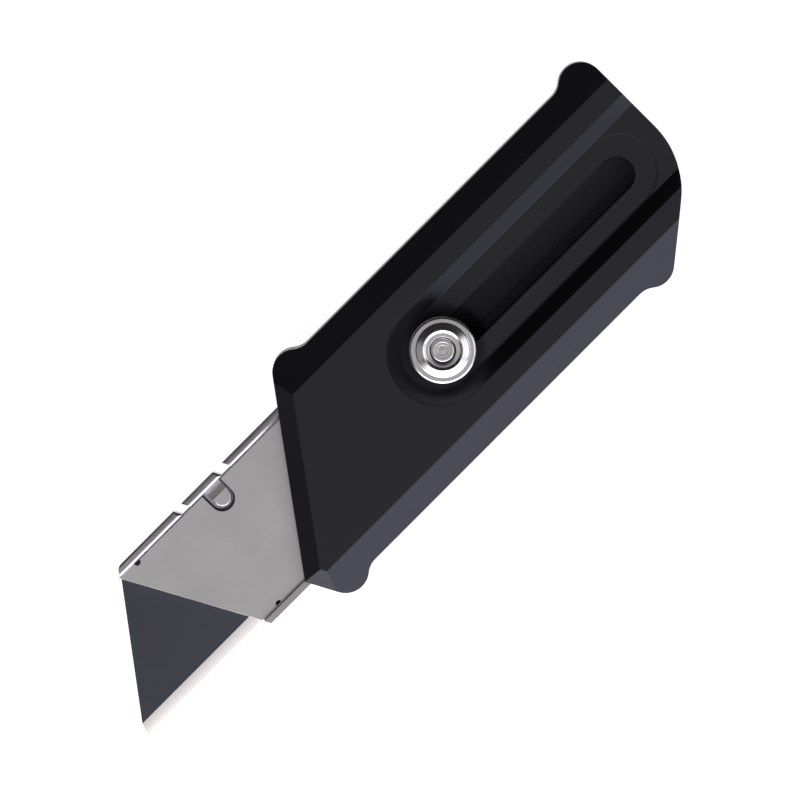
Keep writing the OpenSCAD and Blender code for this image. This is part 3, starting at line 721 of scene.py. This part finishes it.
tailSlope = tan(radians(plan["tailAngle"]))
rearFootY = -carrierY + (rearX - carrier["footX"]) * tailSlope


def frontX(y):
    return carrier["frontX"] + (carrier["frontY"] - y) / tan(radians(carrier["frontAngle"]))


def carrierOutline(bm, half, height, ear=None):
    pencil = Pencil(bm, (frontX(-half), -half, height))
    pencil.line(
        (carrier["footX"] + (carrierY - half) / tailSlope, -half, height),
        (rearX, rearFootY, height), (rearX, half, height))
    if ear:  # the corner that joins the plate to the front of the lip
        pencil.line((carrier["reliefTopX"], half, height), (carrier["reliefTopX"], ear, height),
                    (frontX(ear), ear, height))
    else:
        pencil.line((frontX(half), half, height))
    return pencil.fill()


def traySheet(bm):
    raiseFace(bm, carrierOutline(bm, lipIn, trayLow.z), (0, 0, carrier["trayT"]))


def slope(bm, y, angle):  # a flat through the lip's crest, falling towards +Y
    sliceOff(bm, (0, y, trayHigh.z), (0, sin(radians(angle)), cos(radians(angle))))


def shapeLip(bm, face, crestY, topAngle):  # raises a lip from its plan, with a crest along its top
    raiseFace(bm, face, (0, 0, trayHigh.z - trayLow.z))
    slope(bm, crestY, -carrier["crestAngle"])
    slope(bm, crestY, topAngle)


def rollEdges(bm, endX):  # slopes a stretch's outer edge and its end towards the tail
    fall = radians(carrier["rollAngle"])
    end = Vector((carrier["lipT"], carrier["lean"], 0)).normalized()
    for x, out in ((0, Vector((0, 1, 0))), (endX, end)):
        start = Vector((x, carrierY, trayHigh.z - carrier["rollDrop"])) - out * carrier["roll"]
        sliceOff(bm, start, out * sin(fall) + Vector((0, 0, cos(fall))))


def lipStretch(bm, x1, x2):
    z, lean = trayLow.z, carrier["lean"]
    pencil = Pencil(bm, (x1 + lean, lipIn, z))
    pencil.line((x2 + lean, lipIn, z), (x2, carrierY, z), (x1, carrierY, z))
    shapeLip(bm, pencil.fill(), lipIn + carrier["crest"], carrier["topAngle"])
    rollEdges(bm, x2)


def frontLip(bm):  # the foremost stretch, with a round corner
    z, r, end = trayLow.z, carrier["frontR"], carrier["lipCuts"][0]
    cornerX = frontX(carrierY) + 2 * r
    centre = Vector((cornerX, carrierY - r, z))
    start = 180 - degrees(asin((lipIn - centre.y) / r))
    pencil = Pencil(bm, centre + r * toward(start))
    pencil.line((end + carrier["lean"], lipIn, z), (end, carrierY, z), (cornerX, carrierY, z))
    pencil.arc(centre, start - 90 - carrier["frontGap"])
    shapeLip(bm, pencil.fill(), lipIn + carrier["crest"], carrier["topAngle"])
    rollEdges(bm, end)


def lowerLip(bm):
    z = trayLow.z
    pencil = Pencil(bm, (frontX(-lipIn), -lipIn, z))
    pencil.line(
        (frontX(-lipIn) + carrier["footLean"], -carrierY, z), (carrier["footX"], -carrierY, z),
        (carrier["footX"] + (carrierY - lipIn) / tailSlope, -lipIn, z))
    shapeLip(bm, pencil.fill(), carrier["crest"] - carrierY, carrier["lowTopAngle"])


def trayHoles(bm):
    column(bm, knobX, 0, trayLow.z - over, trayLow.z + over, carrier["pilotR"])
    for x in (knobX, knobX - channel["travel"]):
        column(bm, x, carrier["detentY"], trayLow.z - over, trayLow.z + over, carrier["detentR"])


def makeTray():
    rearLip = shape(lipStretch, carrier["lipCuts"][3], rearX - carrier["lean"])
    tray = combine(shape(traySheet), [shape(frontLip), rearLip, shape(lowerLip)], "UNION")
    combine(tray, [shape(trayHoles)])
    tray.name = "carrierTray"
    settle(tray, "carrier", ["carrier_tray"], [trayFinish], carrier["trayEdge"], 2)


def plateHoles(bm):
    low, high = plateLow.z - over, plateHigh.z + over
    column(bm, carrier["reliefTopX"], carrier["plateHalf"], low, high, carrier["reliefR"])
    column(bm, carrier["reliefLowX"], -carrier["plateHalf"], low, high, carrier["reliefR"])
    column(bm, knobX, 0, low, high, carrier["stemR"])


def windowShape(bm):  # D-shaped, and open to the plate's edge
    x, y, r, z = carrier["windowX"], carrier["windowY"], carrier["windowR"], plateLow.z - over
    pencil = Pencil(bm, (x + r, carrierY, z)).line((x - r, carrierY, z), (x - r, y, z))
    pencil.arc((x, y, z), 180, stepAngle=4)
    raiseFace(bm, pencil.fill(), (0, 0, plateHigh.z - plateLow.z + 2 * over))


def makePlate():
    bm = bmesh.new()
    face = carrierOutline(bm, carrier["plateHalf"], plateLow.z, lipIn)
    raiseFace(bm, face, (0, 0, plateHigh.z - plateLow.z))
    plate = combine(asObject(bm, "carrierPlate"), [shape(plateHoles), shape(windowShape)])
    settle(plate, "carrier", ["carrier_plate"], [plateFinish], carrier["plateEdge"])


makeTray()
makePlate()


# the finger that holds the blade
latch = {
    "x": -25.05, "padY": 7.4, "padR": 1.42, "padTop": 5.05, "padLow": 3.6, "padEdge": 0.3, "back": 0.6,
    "sheet": 0.75, "fall": 0.5, "foot": 0.35, "step": 0.02,  # the strip between the lip and the pad
    "rootZ": 3.3, "rootY": 10.5, "rootR": 0.35,
    "edge": 0.06,
}


def latchLip(bm):
    lipStretch(bm, carrier["lipCuts"][1], carrier["lipCuts"][2])
    sliceOff(bm, (0, 0, latch["rootZ"]), (0, 0, -1))


def latchStrip(bm):  # rises from the lip's side to the pad
    foot, end = lipIn + latch["foot"], latch["padY"] + latch["back"]
    top, low = latch["padTop"], latch["padTop"] - latch["fall"]
    alongX(bm, [
        (foot, low), (end, top - latch["step"]), (end, top - latch["sheet"]), (foot, low - latch["sheet"])],
        latch["x"] - latch["padR"], latch["x"] + latch["padR"])


def latchPad(bm):
    x, y, r, z = latch["x"], latch["padY"], latch["padR"], latch["padLow"]
    back, top = y + latch["back"], latch["padTop"]
    pencil = Pencil(bm, (x + r, back, z)).line((x - r, back, z), (x - r, y, z))
    pencil.arc((x, y, z), 180, stepAngle=4)
    raiseFace(bm, pencil.fill(), (0, 0, top - z))
    rim = [e for e in rimEdges(bm, top) if max(v.co.y for v in e.verts) < back - near]
    chamfer(bm, rim, latch["padEdge"], segments=4)


def latchRoot(bm):  # the round line about which the latch bends
    x1, x2 = carrier["lipCuts"][1] + carrier["lean"], carrier["lipCuts"][2]
    middle = Matrix.Translation(((x1 + x2) / 2, latch["rootY"], latch["rootZ"]))
    bmesh.ops.create_cone(
        bm, cap_ends=True, segments=32, radius1=latch["rootR"], radius2=latch["rootR"], depth=x2 - x1,
        matrix=middle @ Matrix.Rotation(pi / 2, 4, "Y"))


def makeLatch():
    piece = combine(shape(latchLip), [shape(latchRoot), shape(latchStrip), shape(latchPad)], "UNION")
    piece.name = "bladeLatch"
    settle(piece, "latch", ["blade_latch"], [trayFinish], latch["edge"], 2)


makeLatch()


# the trapezoid blade
bladeLow, bladeHigh = boxOf("blade")
bladeCut = {
    "angle": 54.4, "toe": 0.6, "grind": 1.75, "edgeT": 0.03,
    "notchR": 1.7, "notchX": 5.7, "notchY": 5.75,
}


def notchShape(bm):
    middle, r = (bladeLow.x + bladeHigh.x) / 2, bladeCut["notchR"]
    y, top, z = bladeCut["notchY"] + r, bladeHigh.y + over, bladeLow.z - over
    for x in (middle - bladeCut["notchX"], middle + bladeCut["notchX"]):
        pencil = Pencil(bm, (x + r, top, z)).line((x - r, top, z), (x - r, y, z))
        raiseFace(bm, pencil.arc((x, y, z), 180).fill(), (0, 0, bladeHigh.z - bladeLow.z + 2 * over))


def bladeShape(bm):
    half, mid = bladeHigh.y, (bladeLow.z + bladeHigh.z) / 2
    grindY = -half + bladeCut["grind"]
    tip = bladeCut["edgeT"] / 2
    alongX(bm, [
        (half, bladeLow.z), (half, bladeHigh.z), (grindY, bladeHigh.z),
        (-half, mid + tip), (-half, mid - tip), (grindY, bladeLow.z)], bladeLow.x, bladeHigh.x)
    lean = 2 * half / tan(radians(bladeCut["angle"]))
    for endX, side in ((bladeLow.x, -1), (bladeHigh.x, 1)):
        toeX, topX = endX - side * bladeCut["toe"], endX - side * lean
        sliceOff(bm, (toeX, grindY, 0), (side * (half - grindY), abs(topX - toeX), 0))
        sliceOff(bm, (endX, -half, 0), (side * bladeCut["grind"], bladeCut["toe"], 0))


def makeBlade():
    blade = combine(shape(bladeShape), [shape(notchShape)])
    blade.name = "cuttingBlade"
    grindY = bladeLow.y + bladeCut["grind"]
    for face in blade.data.polygons:
        face.material_index = 1 if face.center.y < grindY - near else 0
    settle(blade, "carrier", ["blade"], [bladeFinish, edgeFinish], 0.0)


makeBlade()
print("carrier made")


# the turned parts that the thumb pushes
flangeLow, flangeHigh = boxOf("knob_flange")
screwTop = boxOf("knob_screw")[1].z
knob = {
    "r": knobHigh.x - knobX, "boreR": 1.72, "stepR": 3.97, "stepWidth": 0.17, "stepRise": 0.105,
    "coneR": 2.95, "crestR": 2.88, "dishR": 2.52, "seatR": 1.92,
    "rim": 0.38, "bandDrop": 0.4, "dishDrop": 0.2, "seatDrop": 0.215,
    "footIn": 0.15, "footUp": 0.12, "round": 0.35, "shoulder": 0.12,  # the rounding at foot and shoulder
    "seatTaper": 0.03, "seatStep": 0.5, "seatDepth": 1.3,
    "flangeEdge": 0.15, "edge": 0.06, "steps": 128,
}
knobScrew = {
    "low": 7.6, "shankR": 0.78, "headLow": 10.22, "headR": 1.76, "flatR": 1.56,
    "drop": 0.06, "edgeDrop": 0.16,
    "rings": (  # radius and depth of the soft rings on its head
        (1.2, 0.015), (1.14, 0.035), (0.78, 0.03), (0.72, 0.05), (0.3, 0.045), (0.16, 0.02), (0, 0.012)),
}


def capShape(bm):
    r, low, top = knob["r"], knobLow.z, knobHigh.z
    band, seatR = top - knob["bandDrop"], knob["seatR"] - knob["seatTaper"]
    turned(bm, knobX, [
        (knob["boreR"], low), (r - knob["round"], low), (r - knob["footIn"], low + knob["footUp"]),
        (r, low + knob["round"]), (r, band - knob["round"]),
        (r - knob["shoulder"], band - knob["shoulder"]), (r - knob["rim"], band), (knob["stepR"], band),
        (knob["stepR"] - knob["stepWidth"], band + knob["stepRise"]),
        (knob["coneR"], top), (knob["crestR"], top), (knob["dishR"], top - knob["dishDrop"]),
        (knob["seatR"], top - knob["seatDrop"]), (seatR, top - knob["seatStep"]),
        (seatR, top - knob["seatDepth"]), (knob["boreR"], top - knob["seatDepth"]),
        (knob["boreR"], low)], knob["steps"])


def knobScrewShape(bm):
    low, top = knobScrew["low"], screwTop - knobScrew["drop"]
    turned(bm, knobX, [
        (0, low), (knobScrew["shankR"], low), (knobScrew["shankR"], knobScrew["headLow"]),
        (knobScrew["headR"], knobScrew["headLow"]), (knobScrew["headR"], top - knobScrew["edgeDrop"]),
        (knobScrew["flatR"], top), *[(r, top - depth) for r, depth in knobScrew["rings"]]], knob["steps"])


def flangeShape(bm):
    r, low, top, edge = knob["r"], flangeLow.z, flangeHigh.z, knob["flangeEdge"]
    turned(bm, knobX, [
        (knob["boreR"], low), (r - edge, low), (r, low + edge), (r, top - edge), (r - edge, top),
        (knob["boreR"], top), (knob["boreR"], low)], knob["steps"])


def makeKnob():
    for name, draw, slotName, node, finish in (
            ("knobCap", capShape, "knob_steel", "knob_cap", knobFinish),
            ("knobScrew", knobScrewShape, "knob_screw_steel", "knob_screw", discFinish),
            ("knobFlange", flangeShape, "knob_steel", "knob_flange", knobFinish)):
        piece = shape(draw)
        piece.name = name
        settle(piece, "knob", [node], [finish], knob["edge"], 2)


makeKnob()
print("knob made")


studio = {
    "floorR": 6000, "floorDrop": 0.02, "floorGrey": 0.35, "floorGlow": 0.96, "worldGrey": 0.026,
}
softboxes = {  # azimuth, elevation, distance, width, height, strength and colour
    "sideSoftbox": (-112, 33, 0.9, 1.2, 0.8, 7.4, (0.96, 0.98, 1.10)),
    "tailSoftbox": (-42, 50, 0.9, 0.5, 0.5, 5.0, (1, 1, 1)),
    "noseSoftbox": (142, 56, 0.9, 0.42, 0.42, 1.1, (1, 1, 1)),
    "cornerSoftbox": (-152, 31, 0.9, 0.75, 0.7, 6.6, (1, 1, 1)),
    "leftSoftbox": (-174, 30, 0.9, 0.5, 0.6, 2.0, (1, 1, 1)),
    "overheadSoftbox": (-135, 77, 1.1, 1.0, 1.0, 1.6, (1.0, 0.985, 0.985)),
}


def makeFloor():
    bm = bmesh.new()
    bmesh.ops.create_circle(bm, cap_ends=True, segments=64, radius=studio["floorR"])
    floor = asObject(bm, "floor")
    floor.data.transform(Matrix.Scale(mm, 4))
    floor.data.transform(Matrix.Translation((0, 0, -studio["floorDrop"] * mm)))
    paper = newFinish("paper", {
        "Base Color": shade((1, 1, 1), studio["floorGrey"]), "Roughness": 0.9,
        "Specular IOR Level": 0.0, "Emission Color": (1, 1, 1, 1),
        "Emission Strength": studio["floorGlow"]})[0]
    floor.data.materials.append(paper)


def softbox(name, azimuth, elevation, distance, width, height, strength, colour):
    light = bpy.data.lights.new(name, "AREA")
    light.shape = "RECTANGLE"
    light.size, light.size_y = width, height
    light.energy = strength * width * height
    light.color = colour
    lamp = bpy.data.objects.new(name, light)
    bpy.context.scene.collection.objects.link(lamp)
    a, e = radians(azimuth), radians(elevation)
    out = Vector((cos(a) * cos(e), sin(a) * cos(e), sin(e)))
    lamp.location = out * distance
    lamp.rotation_mode = "QUATERNION"
    lamp.rotation_quaternion = out.to_track_quat("Z", "Y")
    lamp.visible_camera = False


def makeLight():
    for name, values in softboxes.items():
        softbox(name, *values)
    world = bpy.data.worlds.new("studio")
    world.use_nodes = True
    grey = shade((1, 1, 1), studio["worldGrey"])
    world.node_tree.nodes["Background"].inputs["Color"].default_value = grey
    bpy.context.scene.world = world


view = {
    "target": (3.3, -0.85, 7.5), "distance": 1100,
    "tiltX": 2.4, "tiltY": 2.4,  # how far the camera leans towards the tail and the blade's back
    "turn": 45.1,  # the knife's axis in the view, in degrees
    "width": 115.9,  # what the view spans at the target
    "sensor": 36, "nearest": 0.01, "farthest": 20,
}


def makeCamera():
    lens = bpy.data.cameras.new("camera")
    camera = bpy.data.objects.new("camera", lens)
    bpy.context.scene.collection.objects.link(camera)
    back = Vector((tan(radians(view["tiltX"])), tan(radians(view["tiltY"])), 1)).normalized()
    right = toward(-view["turn"])
    right = (right - back * right.dot(back)).normalized()
    up = back.cross(right)
    station = (Vector(view["target"]) + back * view["distance"]) * mm
    aim = Matrix((right, up, back)).transposed().to_4x4()
    camera.matrix_world = Matrix.Translation(station) @ aim
    lens.sensor_width = view["sensor"]
    lens.lens = lens.sensor_width * view["distance"] / view["width"]
    lens.clip_start, lens.clip_end = view["nearest"], view["farthest"]
    bpy.context.scene.camera = camera
    bpy.context.scene.view_settings.view_transform = "Standard"


makeFloor()
makeLight()
makeCamera()

print("scene done")
